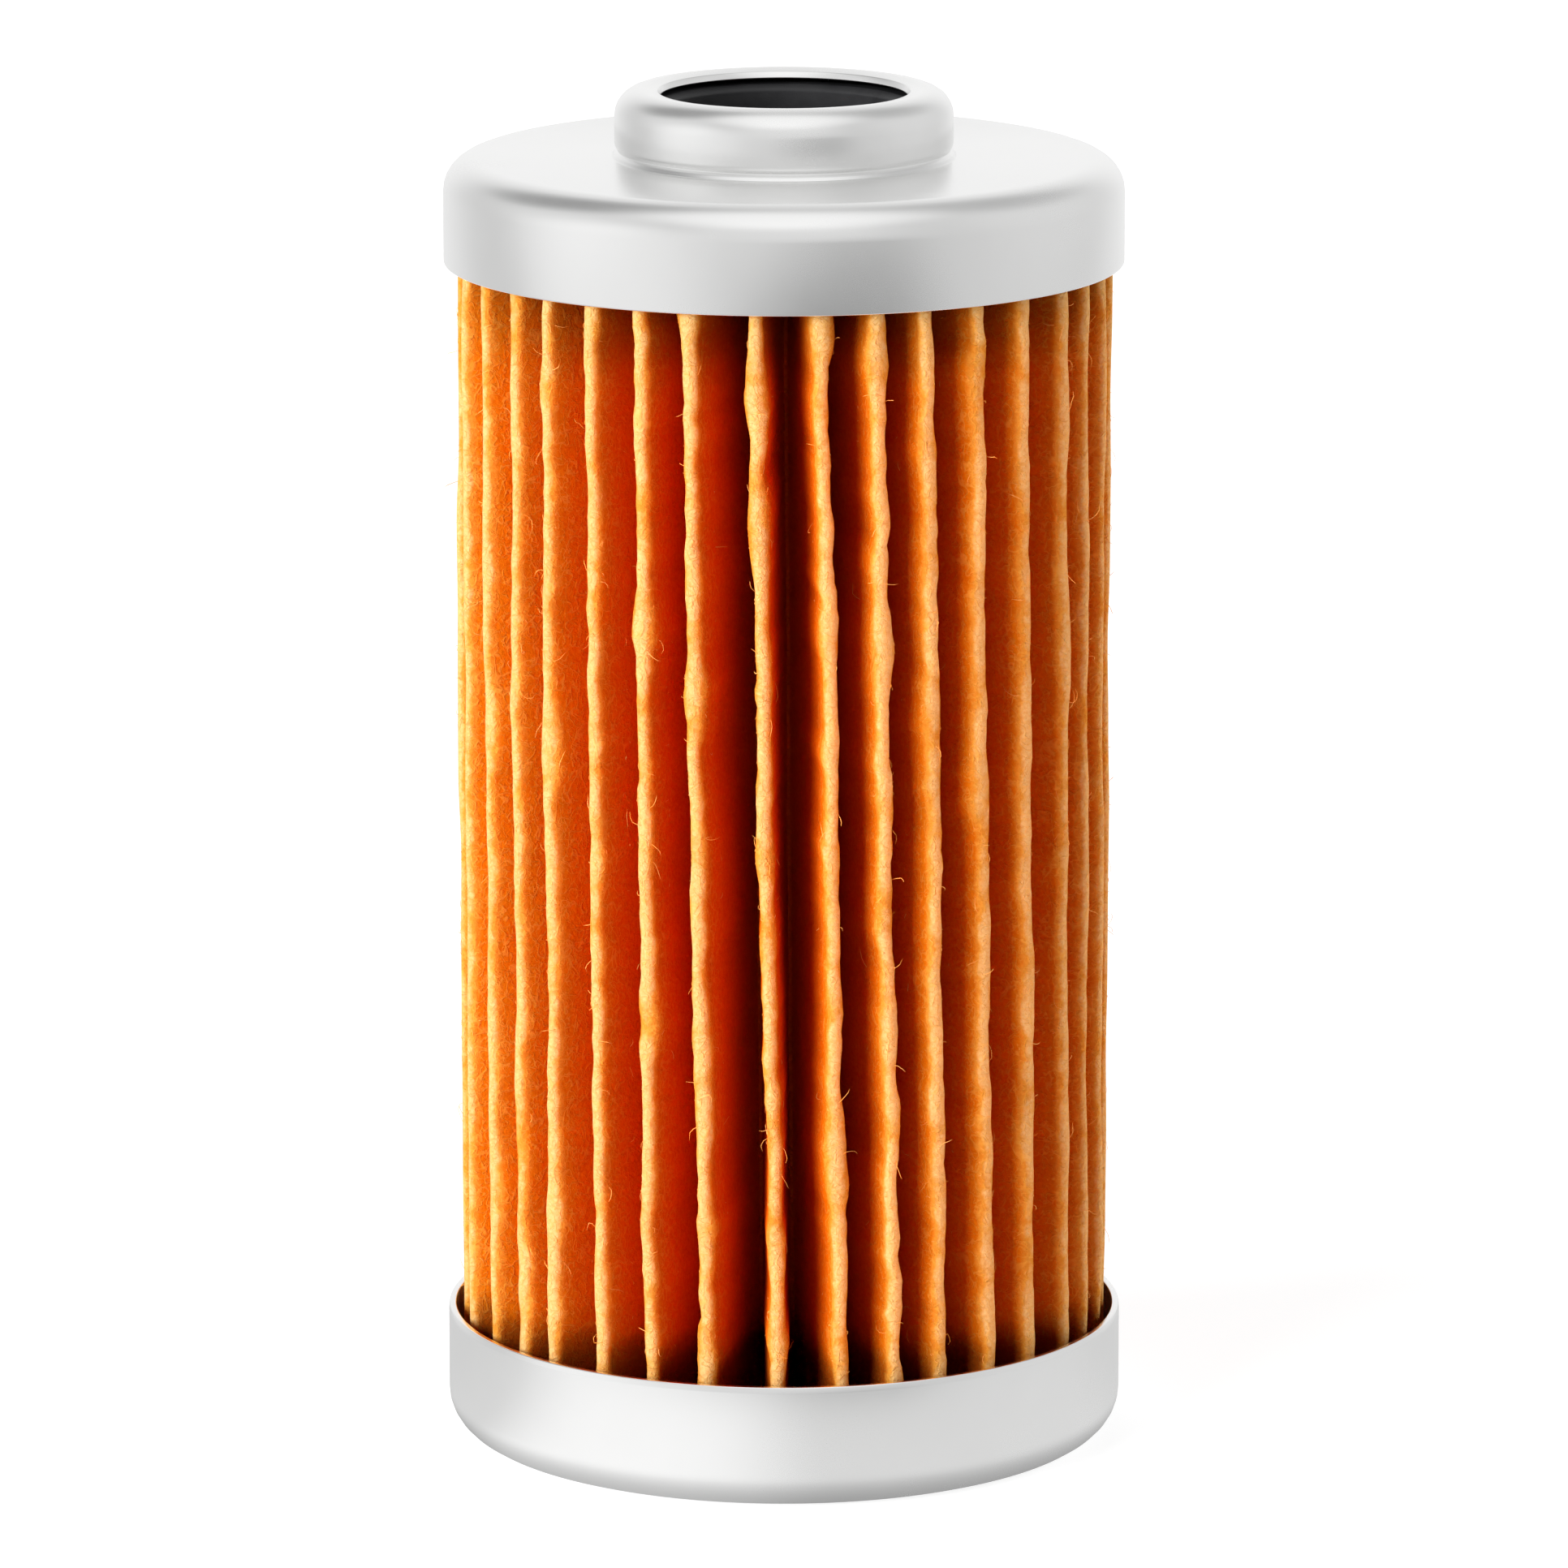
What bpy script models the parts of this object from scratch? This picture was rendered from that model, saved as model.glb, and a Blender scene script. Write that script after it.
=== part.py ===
"""Oil filter element for a small engine.

A ring of pleated paper stands between two pressed metal end caps, round a perforated centre tube.
The top cap is drawn up into a neck that holds a rubber seal. The bottom cap holds a relief valve:
a sprung disc that lifts off its seat, so that oil passes a clogged paper.

Units are metres, +Z points up through the neck, and the origin is the middle of the base.
"""

import math

import bmesh
import bpy
from mathutils import Matrix

# Whole element
HEIGHT = 0.0809
GAP = 0.00015  # clearance between pieces that touch

# Top cap: a skirt, a flat, and a neck with a lip turned in over the seal
TOP_RADIUS = 0.0200
TOP_SHEET = 0.0005
TOP_SKIRT_Z = 0.0707
TOP_FLAT_Z = 0.0769
TOP_CORNER = 0.0020
NECK_RADIUS = 0.00995
NECK_SHOULDER = 0.0016
NECK_SIDE = 0.0011  # how far above the flat the neck's straight side ends
NECK_WAIST = 0.0004  # how far above the flat the neck is narrowest
NECK_TUCK = 0.00023  # how far the neck is drawn in at its waist
NECK_FOOT = 0.0003  # how far it spreads again below its waist
NECK_OPENING = 0.0072
LIP_DROP = 0.00022  # how far the lip sinks towards the opening

# Bottom cap: a tray, with a raised valve seat round the relief port
BOTTOM_RADIUS = 0.0201
BOTTOM_SHEET = 0.0004
BOTTOM_RIM_Z = 0.0076
BOTTOM_CORNER = 0.0024
PORT_RADIUS = 0.0035
SEAT_RADIUS = 0.0041
SEAT_Z = 0.0016
SEAT_EDGE = 0.0003  # bevel round the seat
SEAT_FOOT = 0.0005  # how far the raised part widens at its foot

# Rubber seal in the neck, and the washer that holds it up
SEAL_BORE = 0.0069
SEAL_BEVEL = 0.0004
SEAL_SHOULDER = 0.0013  # how far above the flat the seal starts to narrow
SEAL_WAIST = 0.0008  # how far above the flat it is at its narrowest
RETAINER_BORE = 0.0074
RETAINER_RADIUS = 0.0092
RETAINER_SHEET = 0.0006

# Centre tube
TUBE_RADIUS = 0.0085
TUBE_SHEET = 0.0004
TUBE_HOLE = 0.0016
TUBE_HOLE_ROWS = 8
TUBE_HOLE_COLUMNS = 6
TUBE_CUTTER = 0.0024  # length of the rods that cut the holes

# Paper and its end bonds
BOND = 0.0013
PLEATS = 35
PLY = 0.0005
PLEAT_TIP = 0.01925
PLEAT_ROOT = 0.00875
OUTER_FOLD = 0.00035  # radius of a fold, at the middle of the ply
INNER_FOLD = 0.00038
SEAM_ANGLE = 0.5 * math.pi  # the seam pleat is at the back
SEAM_DROP = 0.0005  # how far the seam pleat is short of the others, to leave room for its clip
CLIP_SHEET = 0.0003
CLIP_DEPTH = 0.0026

# Relief valve
CAGE_SHEET = 0.0004
CAGE_RADIUS = 0.0070
CAGE_TOP_Z = 0.0120
CAGE_CORNER = 0.0010
CAGE_FLANGE = 0.0089
CAGE_BEND = 0.0005  # radius between the cage's wall and its brim
CAGE_DIMPLE = 0.0017  # radius of the hollow in the top
CAGE_DIMPLE_SLOPE = 0.0005
CAGE_DIMPLE_DEPTH = 0.0007
CAGE_WINDOW = (0.0046, 0.0034, 0.0098)  # width, lowest and highest point
VALVE_RADIUS = 0.0054
VALVE_SHEET = 0.0004
VALVE_BOSS = 0.0025
VALVE_BOSS_HEIGHT = 0.0010
VALVE_BOSS_SLOPE = 0.0002
VALVE_BEND = 0.0005
GASKET_HEIGHT = 0.0007
GASKET_EDGE = 0.0001
GASKET_OVERLAP = 0.0005  # how far the gasket reaches in over the port
SPRING_RADIUS = 0.0032
SPRING_WIRE = 0.0006
SPRING_TURNS = 6
SPRING_END_TURNS = 1  # closed turns at each end
SPRING_CLOSED_PITCH = 0.00066

# Fineness of the round pieces
CAP_STEPS = 48
ROUND_STEPS = 32
ARC_POINTS = 5
FOLD_POINTS = 4
HOLE_SIDES = 8
SPRING_POINTS = 10  # in each turn
WELD = 0.00001

FLOOR_Z = BOTTOM_SHEET + GAP
CEILING_Z = TOP_FLAT_Z - TOP_SHEET - GAP
PAPER_BOTTOM_Z = FLOOR_Z + BOND + GAP
PAPER_TOP_Z = CEILING_Z - BOND - GAP
RETAINER_Z = CEILING_Z - RETAINER_SHEET - GAP
TUBE_BOTTOM_Z = FLOOR_Z + CAGE_SHEET + GAP
TUBE_TOP_Z = RETAINER_Z - GAP
GASKET_Z = SEAT_Z + GAP
DISC_Z = GASKET_Z + GASKET_HEIGHT + GAP
SPRING_BOTTOM_Z = DISC_Z + VALVE_SHEET + GAP
SPRING_TOP_Z = CAGE_TOP_Z - CAGE_SHEET - GAP


def clear_scene():
    for obj in list(bpy.data.objects):
        bpy.data.objects.remove(obj, do_unlink=True)


def new_collection(name):
    collection = bpy.data.collections.new(name)
    bpy.context.scene.collection.children.link(collection)
    return collection


def new_material(name, colour, roughness, metallic):
    material = bpy.data.materials.new(name)
    material.use_nodes = True
    shader = material.node_tree.nodes["Principled BSDF"]
    shader.inputs["Base Color"].default_value = (*colour, 1.0)
    shader.inputs["Roughness"].default_value = roughness
    shader.inputs["Metallic"].default_value = metallic
    material.diffuse_color = (*colour, 1.0)
    return material


def place(name, data, collection, material, z=0.0):
    """Puts a mesh or curve in the scene, its origin on the element's axis at height z."""
    obj = bpy.data.objects.new(name, data)
    collection.objects.link(obj)
    data.materials.append(material)
    obj.location = (0.0, 0.0, z)
    return obj


def arc(centre, radius, start, end):
    """Points (r, z) on an arc, from one angle to another in degrees. 0 is outwards and 90 is up."""
    found = []
    for i in range(ARC_POINTS):
        angle = math.radians(start + (end - start) * i / (ARC_POINTS - 1))
        found.append((centre[0] + radius * math.cos(angle), centre[1] + radius * math.sin(angle)))
    return found


def profile_mesh(name, profile, closed):
    mesh = bpy.data.meshes.new(name)
    edges = [(i, i + 1) for i in range(len(profile) - 1)]
    if closed:
        edges.append((len(profile) - 1, 0))
    mesh.from_pydata([(r, 0.0, z) for r, z in profile], edges, [])
    return mesh


def turn(obj, steps):
    screw = obj.modifiers.new("Turn", "SCREW")
    screw.axis = "Z"
    screw.angle = 2.0 * math.pi
    screw.screw_offset = 0.0
    screw.steps = steps
    screw.render_steps = steps
    screw.use_merge_vertices = True
    screw.merge_threshold = WELD
    screw.use_smooth_shade = True


def thicken(obj, thickness, offset):
    solidify = obj.modifiers.new("Sheet", "SOLIDIFY")
    solidify.thickness = thickness
    solidify.offset = offset
    solidify.use_even_offset = True
    solidify.use_rim = True


def turned_ring(name, profile, collection, material, z=0.0):
    """A solid ring from its closed cross-section, which runs down its outer side."""
    obj = place(name, profile_mesh(name, profile, True), collection, material, z)
    turn(obj, ROUND_STEPS)
    return obj


def turned_sheet(name, profile, sheet, steps, collection, material, z=0.0):
    """A pressed sheet from the line of its outer face, which runs down its outer side."""
    obj = place(name, profile_mesh(name, profile, False), collection, material, z)
    turn(obj, steps)
    thicken(obj, sheet, -1.0)
    return obj


def cut(obj, cutter):
    boolean = obj.modifiers.new("Cut", "BOOLEAN")
    boolean.operation = "DIFFERENCE"
    boolean.object = cutter


def hide_cutter(cutter):
    cutter.hide_render = True
    cutter.display_type = "WIRE"


def make_top_end_cap(collection, material):
    shoulder = (NECK_RADIUS - NECK_SHOULDER, HEIGHT - NECK_SHOULDER)
    tuck_radius = NECK_RADIUS - NECK_TUCK
    profile = [(NECK_OPENING, HEIGHT - LIP_DROP)]
    profile += arc(shoulder, NECK_SHOULDER, 90.0, 0.0)
    profile += [
        (NECK_RADIUS, TOP_FLAT_Z + NECK_SIDE),
        (tuck_radius, TOP_FLAT_Z + NECK_WAIST),
        (tuck_radius + NECK_FOOT, TOP_FLAT_Z),
    ]
    profile += arc((TOP_RADIUS - TOP_CORNER, TOP_FLAT_Z - TOP_CORNER), TOP_CORNER, 90.0, 0.0)
    profile.append((TOP_RADIUS, TOP_SKIRT_Z))
    return turned_sheet("top_end_cap", profile, TOP_SHEET, CAP_STEPS, collection, material)


def make_neck_seal(collection, material):
    shoulder = (NECK_RADIUS - NECK_SHOULDER, HEIGHT - NECK_SHOULDER)
    outer = NECK_RADIUS - TOP_SHEET - GAP
    waist = outer - NECK_TUCK
    bottom = CEILING_Z
    top = HEIGHT - TOP_SHEET - LIP_DROP - GAP
    profile = [(SEAL_BORE + SEAL_BEVEL, top)]
    profile += arc(shoulder, NECK_SHOULDER - TOP_SHEET - GAP, 90.0, 0.0)
    profile += [
        (outer, TOP_FLAT_Z + SEAL_SHOULDER),
        (waist, TOP_FLAT_Z + SEAL_WAIST),
        (waist, bottom),
        (SEAL_BORE + SEAL_BEVEL, bottom),
        (SEAL_BORE, bottom + SEAL_BEVEL),
        (SEAL_BORE, top - SEAL_BEVEL),
    ]
    return turned_ring("neck_seal", profile, collection, material)


def make_seal_retainer(collection, material):
    profile = [
        (RETAINER_RADIUS, RETAINER_SHEET),
        (RETAINER_RADIUS, 0.0),
        (RETAINER_BORE, 0.0),
        (RETAINER_BORE, RETAINER_SHEET),
    ]
    return turned_ring("seal_retainer", profile, collection, material, RETAINER_Z)


def make_top_bond(collection, material):
    """The sealant that bonds the paper into the top cap, fitted to the cap's inner corner."""
    corner = (TOP_RADIUS - TOP_CORNER, TOP_FLAT_Z - TOP_CORNER)
    radius = TOP_CORNER - TOP_SHEET - GAP
    lowest = math.degrees(math.asin((CEILING_Z - BOND - corner[1]) / radius))
    inner = RETAINER_RADIUS + GAP
    profile = arc(corner, radius, 90.0, lowest)
    profile += [(inner, CEILING_Z - BOND), (inner, CEILING_Z)]
    return turned_ring("top_bond", profile, collection, material)


def make_bottom_bond(collection, material):
    """The sealant that bonds the paper into the bottom cap, fitted to the cap's inner corner."""
    corner = (BOTTOM_RADIUS - BOTTOM_CORNER, BOTTOM_CORNER)
    radius = BOTTOM_CORNER - BOTTOM_SHEET - GAP
    highest = math.degrees(math.asin((FLOOR_Z + BOND - corner[1]) / radius))
    inner = CAGE_FLANGE + GAP
    profile = arc(corner, radius, highest, -90.0)
    profile += [(inner, FLOOR_Z), (inner, FLOOR_Z + BOND)]
    return turned_ring("bottom_bond", profile, collection, material)


def plan_point(angle, out, aside):
    """A point (x, y) that far out along an angle, and that far aside towards rising angle."""
    return (
        out * math.cos(angle) - aside * math.sin(angle),
        out * math.sin(angle) + aside * math.cos(angle),
    )


def fold_points(angle, centre, radius, outward):
    """A half-round fold round a centre that far out, in the direction of rising angle."""
    side = 1.0 if outward else -1.0
    found = []
    for i in range(FOLD_POINTS):
        around = math.pi * (i / (FOLD_POINTS - 1) - 0.5)
        out = centre + side * radius * math.cos(around)
        found.append(plan_point(angle, out, radius * math.sin(around)))
    return found


def upright_sheet(name, outline, closed, bottom, top, sheet, collection, material):
    """A sheet that stands on an outline in plan, with half its thickness on each side."""
    mesh = bpy.data.meshes.new(name)
    bm = bmesh.new()
    points = [bm.verts.new((x, y, 0.0)) for x, y in outline]
    for i in range(len(points) - (0 if closed else 1)):
        bm.edges.new((points[i], points[(i + 1) % len(points)]))
    raised = bmesh.ops.extrude_edge_only(bm, edges=bm.edges[:])["geom"]
    raised_points = [part for part in raised if isinstance(part, bmesh.types.BMVert)]
    bmesh.ops.translate(bm, verts=raised_points, vec=(0.0, 0.0, top - bottom))
    bmesh.ops.recalc_face_normals(bm, faces=bm.faces[:])
    bm.to_mesh(mesh)
    bm.free()
    obj = place(name, mesh, collection, material, bottom)
    thicken(obj, sheet, 0.0)
    return obj


def make_pleated_paper(collection, material):
    pitch = 2.0 * math.pi / PLEATS
    root = PLEAT_ROOT + 0.5 * PLY + INNER_FOLD
    outline = []
    for i in range(PLEATS):
        angle = SEAM_ANGLE + pitch * i
        tip = PLEAT_TIP - (SEAM_DROP if i == 0 else 0.0)
        outline += fold_points(angle, tip - 0.5 * PLY - OUTER_FOLD, OUTER_FOLD, True)
        outline += fold_points(angle + 0.5 * pitch, root, INNER_FOLD, False)
    return upright_sheet(
        "pleated_paper", outline, True, PAPER_BOTTOM_Z, PAPER_TOP_Z, PLY, collection, material
    )


def make_seam_clip(collection, material):
    """The crimped strip that holds the two ends of the paper together."""
    around = 0.5 * PLY + OUTER_FOLD + GAP + 0.5 * CLIP_SHEET
    bend = PLEAT_TIP - SEAM_DROP - 0.5 * PLY - OUTER_FOLD
    foot = bend - CLIP_DEPTH
    outline = [plan_point(SEAM_ANGLE, foot, -around)]
    outline += fold_points(SEAM_ANGLE, bend, around, True)
    outline.append(plan_point(SEAM_ANGLE, foot, around))
    return upright_sheet(
        "seam_clip", outline, False, PAPER_BOTTOM_Z, PAPER_TOP_Z, CLIP_SHEET, collection, material
    )


def tube_hole_cutter(collection, material):
    """Short rods through the tube's wall, in rows that are staggered by half a column."""
    mesh = bpy.data.meshes.new("tube_hole_cutter")
    bm = bmesh.new()
    row_pitch = (TUBE_TOP_Z - TUBE_BOTTOM_Z) / (TUBE_HOLE_ROWS + 1)
    column_pitch = 2.0 * math.pi / TUBE_HOLE_COLUMNS
    middle = TUBE_RADIUS - 0.5 * TUBE_SHEET
    for row in range(TUBE_HOLE_ROWS):
        z = row_pitch * (row + 1)
        for column in range(TUBE_HOLE_COLUMNS):
            angle = column_pitch * (column + 0.5 * (row % 2))
            rod = bmesh.ops.create_cone(
                bm,
                cap_ends=True,
                segments=HOLE_SIDES,
                radius1=TUBE_HOLE,
                radius2=TUBE_HOLE,
                depth=TUBE_CUTTER,
            )["verts"]
            bmesh.ops.rotate(bm, verts=rod, matrix=Matrix.Rotation(0.5 * math.pi, 3, "Y"))
            bmesh.ops.translate(bm, verts=rod, vec=(middle, 0.0, z))
            bmesh.ops.rotate(bm, verts=rod, matrix=Matrix.Rotation(angle, 3, "Z"))
    bm.to_mesh(mesh)
    bm.free()
    cutter = place("tube_hole_cutter", mesh, collection, material, TUBE_BOTTOM_Z)
    hide_cutter(cutter)
    return cutter


def make_centre_tube(collection, cutters, material):
    height = TUBE_TOP_Z - TUBE_BOTTOM_Z
    inner = TUBE_RADIUS - TUBE_SHEET
    profile = [(TUBE_RADIUS, height), (TUBE_RADIUS, 0.0), (inner, 0.0), (inner, height)]
    tube = turned_ring("centre_tube", profile, collection, material, TUBE_BOTTOM_Z)
    cut(tube, tube_hole_cutter(cutters, material))
    return tube


def make_bottom_end_cap(collection, material):
    corner = (BOTTOM_RADIUS - BOTTOM_CORNER, BOTTOM_CORNER)
    under_seat = SEAT_Z - BOTTOM_SHEET
    profile = [(BOTTOM_RADIUS, BOTTOM_RIM_Z)]
    profile += arc(corner, BOTTOM_CORNER, 0.0, -90.0)
    profile += [
        (SEAT_RADIUS + 2.0 * SEAT_FOOT, 0.0),
        (SEAT_RADIUS + SEAT_FOOT, SEAT_EDGE),
        (SEAT_RADIUS + SEAT_EDGE, under_seat - SEAT_EDGE),
        (SEAT_RADIUS, under_seat),
        (PORT_RADIUS, under_seat),
    ]
    return turned_sheet(
        "bottom_end_cap", profile, BOTTOM_SHEET, CAP_STEPS, collection, material
    )


def make_valve_cage(collection, cutters, material):
    """A hat that the spring pushes up against. Its brim is held under the centre tube."""
    brim = FLOOR_Z + CAGE_SHEET
    profile = [
        (0.0, CAGE_TOP_Z - CAGE_DIMPLE_DEPTH),
        (CAGE_DIMPLE, CAGE_TOP_Z - CAGE_DIMPLE_DEPTH),
        (CAGE_DIMPLE + CAGE_DIMPLE_SLOPE, CAGE_TOP_Z),
    ]
    profile += arc((CAGE_RADIUS - CAGE_CORNER, CAGE_TOP_Z - CAGE_CORNER), CAGE_CORNER, 90.0, 0.0)
    profile += arc((CAGE_RADIUS + CAGE_BEND, brim + CAGE_BEND), CAGE_BEND, 180.0, 270.0)
    profile.append((CAGE_FLANGE, brim))
    cage = turned_sheet("valve_cage", profile, CAGE_SHEET, ROUND_STEPS, collection, material)
    width, low, high = CAGE_WINDOW
    length = 2.0 * CAGE_FLANGE
    for name, size in (("across", (length, width)), ("along", (width, length))):
        mesh = bpy.data.meshes.new("window_cutter_" + name)
        bm = bmesh.new()
        bmesh.ops.create_cube(bm, size=1.0)
        bmesh.ops.scale(bm, verts=bm.verts[:], vec=(*size, high - low))
        bm.to_mesh(mesh)
        bm.free()
        cutter = place("window_cutter_" + name, mesh, cutters, material, 0.5 * (low + high))
        hide_cutter(cutter)
        cut(cage, cutter)
    return cage


def make_valve_spring(collection, material):
    """A compression coil with a closed turn at each end."""
    low = SPRING_BOTTOM_Z + 0.5 * SPRING_WIRE
    high = SPRING_TOP_Z - 0.5 * SPRING_WIRE
    open_turns = SPRING_TURNS - 2 * SPRING_END_TURNS
    open_pitch = (high - low - 2 * SPRING_END_TURNS * SPRING_CLOSED_PITCH) / open_turns
    curve = bpy.data.curves.new("valve_spring", "CURVE")
    curve.dimensions = "3D"
    curve.bevel_depth = 0.5 * SPRING_WIRE
    curve.bevel_resolution = 2
    curve.use_fill_caps = True
    count = SPRING_TURNS * SPRING_POINTS + 1
    spline = curve.splines.new("POLY")
    spline.points.add(count - 1)
    z = low
    for i, point in enumerate(spline.points):
        turns = i / SPRING_POINTS
        angle = 2.0 * math.pi * turns
        point.co = (SPRING_RADIUS * math.cos(angle), SPRING_RADIUS * math.sin(angle), z, 1.0)
        in_end = turns < SPRING_END_TURNS or turns >= SPRING_TURNS - SPRING_END_TURNS
        z += (SPRING_CLOSED_PITCH if in_end else open_pitch) / SPRING_POINTS
    return place("valve_spring", curve, collection, material)


def make_valve_disc(collection, material):
    """A pressed disc whose boss keeps the spring in the middle."""
    boss_top = VALVE_SHEET + VALVE_BOSS_HEIGHT
    profile = [(0.0, boss_top)]
    profile += arc((VALVE_BOSS - VALVE_BEND, boss_top - VALVE_BEND), VALVE_BEND, 90.0, 0.0)
    profile += [(VALVE_BOSS + VALVE_BOSS_SLOPE, VALVE_SHEET), (VALVE_RADIUS, VALVE_SHEET)]
    return turned_sheet(
        "valve_disc", profile, VALVE_SHEET, ROUND_STEPS, collection, material, DISC_Z
    )


def make_valve_gasket(collection, material):
    """The soft ring under the disc that closes on the seat."""
    inner = PORT_RADIUS - GASKET_OVERLAP
    outer = VALVE_RADIUS - GASKET_EDGE
    profile = [
        (outer - GASKET_EDGE, GASKET_HEIGHT),
        (outer, GASKET_HEIGHT - GASKET_EDGE),
        (outer, GASKET_EDGE),
        (outer - GASKET_EDGE, 0.0),
        (inner, 0.0),
        (inner, GASKET_HEIGHT),
    ]
    return turned_ring("valve_gasket", profile, collection, material, GASKET_Z)


def build():
    clear_scene()
    parts = new_collection("oil_filter_element")
    cutters = new_collection("cutters")
    cutters.hide_render = True
    tinplate = new_material("tinplate", (0.80, 0.80, 0.79), 0.32, 1.0)
    steel = new_material("zinc_plated_steel", (0.62, 0.63, 0.64), 0.38, 1.0)
    spring_steel = new_material("spring_steel", (0.36, 0.36, 0.37), 0.30, 1.0)
    rubber = new_material("nitrile_rubber", (0.012, 0.012, 0.013), 0.55, 0.0)
    paper = new_material("cellulose_paper", (0.86, 0.36, 0.10), 0.90, 0.0)
    sealant = new_material("bond_sealant", (0.22, 0.05, 0.02), 0.60, 0.0)

    make_top_end_cap(parts, tinplate)
    make_neck_seal(parts, rubber)
    make_seal_retainer(parts, steel)
    make_top_bond(parts, sealant)
    make_pleated_paper(parts, paper)
    make_seam_clip(parts, steel)
    make_centre_tube(parts, cutters, steel)
    make_bottom_bond(parts, sealant)
    make_bottom_end_cap(parts, tinplate)
    make_valve_cage(parts, cutters, steel)
    make_valve_spring(parts, spring_steel)

    relief_valve = bpy.data.objects.new("relief_valve", None)
    relief_valve.empty_display_size = VALVE_RADIUS
    parts.objects.link(relief_valve)
    for piece in (make_valve_disc(parts, steel), make_valve_gasket(parts, rubber)):
        piece.parent = relief_valve


build()
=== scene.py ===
"""The looks of a pleated oil filter element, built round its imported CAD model.

Units are metres and +Z is up, as in the model. Outlines of turned pieces are corners (r, z, fillet) in
millimetres. An azimuth is in degrees round the element, 0 towards the camera and rising to its right.
"""

import math

import bmesh
import bpy
import numpy as np
from mathutils import Matrix, Vector


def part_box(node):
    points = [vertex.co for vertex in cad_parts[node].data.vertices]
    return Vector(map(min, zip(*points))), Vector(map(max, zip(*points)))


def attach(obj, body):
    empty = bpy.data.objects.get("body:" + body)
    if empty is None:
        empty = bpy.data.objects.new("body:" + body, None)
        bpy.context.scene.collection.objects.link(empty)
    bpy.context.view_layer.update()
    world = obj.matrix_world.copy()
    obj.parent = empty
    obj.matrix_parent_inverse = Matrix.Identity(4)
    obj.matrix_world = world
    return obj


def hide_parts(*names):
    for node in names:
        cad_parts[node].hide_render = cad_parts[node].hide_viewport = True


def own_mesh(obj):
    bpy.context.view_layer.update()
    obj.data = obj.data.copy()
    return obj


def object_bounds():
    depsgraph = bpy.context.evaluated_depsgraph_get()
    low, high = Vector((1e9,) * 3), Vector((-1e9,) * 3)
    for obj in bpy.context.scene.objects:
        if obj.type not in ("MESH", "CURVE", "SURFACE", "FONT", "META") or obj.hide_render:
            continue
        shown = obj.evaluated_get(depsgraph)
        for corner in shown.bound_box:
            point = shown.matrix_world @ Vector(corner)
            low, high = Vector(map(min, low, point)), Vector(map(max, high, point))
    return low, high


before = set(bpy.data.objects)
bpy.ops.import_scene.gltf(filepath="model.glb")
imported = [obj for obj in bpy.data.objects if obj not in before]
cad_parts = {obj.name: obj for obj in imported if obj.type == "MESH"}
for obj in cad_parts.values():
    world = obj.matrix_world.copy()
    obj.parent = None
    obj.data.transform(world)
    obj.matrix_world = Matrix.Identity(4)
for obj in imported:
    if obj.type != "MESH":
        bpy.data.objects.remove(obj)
cad_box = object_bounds()

MM = 0.001
SEED = 7

# Camera and light
CAMERA_DISTANCE = 0.600
CAMERA_HEIGHT = 0.1702
CAMERA_DIP = 12.32  # degrees below level
LENS = 237.4
LIGHTS = [
    # name, azimuth, elevation, distance, width, height, power
    ("key", -49.0, 14.0, 0.8, 0.74, 0.42, 19.5),
    ("fill_right", 104.0, 12.0, 0.8, 0.6, 0.5, 7.2),
    ("fill_back", 190.0, 20.0, 0.8, 0.6, 0.5, 4.0),
]
STUDIO_LEVEL = 0.68
STUDIO_PATCHES = [
    # azimuth, elevation, half width, brightness
    (-62.0, -8.0, 46.0, 0.24),
    (-80.0, 18.0, 40.0, 0.12),
    (100.0, 16.0, 44.0, 0.08),
    (22.0, -30.0, 42.0, -0.34),
    (0.0, 24.0, 46.0, 0.12),
    (0.0, 72.0, 44.0, 0.34),
    (-125.0, 50.0, 30.0, -0.34),
    (125.0, 50.0, 30.0, -0.18),
    (180.0, 22.0, 42.0, 0.12),
    (180.0, -14.0, 60.0, 0.22),
]
FLOOR_HALF = 3.0
FLOOR_GAP = 0.00005
# the near floor is a glow that only metal sees, a painted reflection of the floor with painted light and
# a painted contact shadow in it
NEAR_FLOOR = 0.060  # radius of the part of the floor that metal mirrors
NEAR_FLOOR_LEVEL = 0.77
NEAR_FLOOR_LIT = 0.30  # how much brighter it is in front of the key
NEAR_FLOOR_LIT_AZIMUTH = -36.0
NEAR_FLOOR_BEHIND = -0.08  # how much darker it is at the back
CONTACT_SHADE = 0.50  # its share of light right beside the element
CONTACT_INNER = 0.0180
CONTACT_OUTER = 0.0235

# Fineness of turned pieces
ARC_STEP = math.radians(14.0)
CAP_STEPS = 192
SMALL_STEPS = 96
MERGE = 1e-7
SHARP = 35.0  # degrees between faces from which an edge stays sharp

# Paper
PLEATS = 35
PITCH = 2.0 * math.pi / PLEATS
PLY = 0.00038
OUTER_FOLD = 0.00025  # radius of a fold, at the middle of the ply
INNER_FOLD = 0.00036
LEVELS = 141
INNER_LEVEL_STEP = 2  # the side of the ply that faces the tube is coarser
TIP_POINTS = 7
FLANK_POINTS = 3
ROOT_POINTS = 4
SEAM = 0  # the pleat under the clip, at the back
SEAM_DROP = 0.0005
TWIST_LEFT = math.radians(1.35)
TWIST_RIGHT = math.radians(3.8)
TWIST_CHANGE = -21.0  # azimuth where one twist gives way to the other
TWIST_BLEND = 4.0  # degrees of azimuth over which it does
STRAY = 0.45  # degrees that any pleat may stand aside
STRAY_PLEATS = {11: 1.5, 12: 1.5, 14: 0.4, 15: 0.2, 16: -1.7, 18: 1.3, 19: 0.9, 23: 1.4}  # degrees aside
TIP_WAVES = ((0.30, 0.024), (0.26, 0.0070), (0.20, 0.0030), (0.15, 0.0015))  # degrees aside, length
TIP_SWELLS = ((0.28, 0.0042), (0.34, 0.0018))  # share of the fold's radius, length
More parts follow.
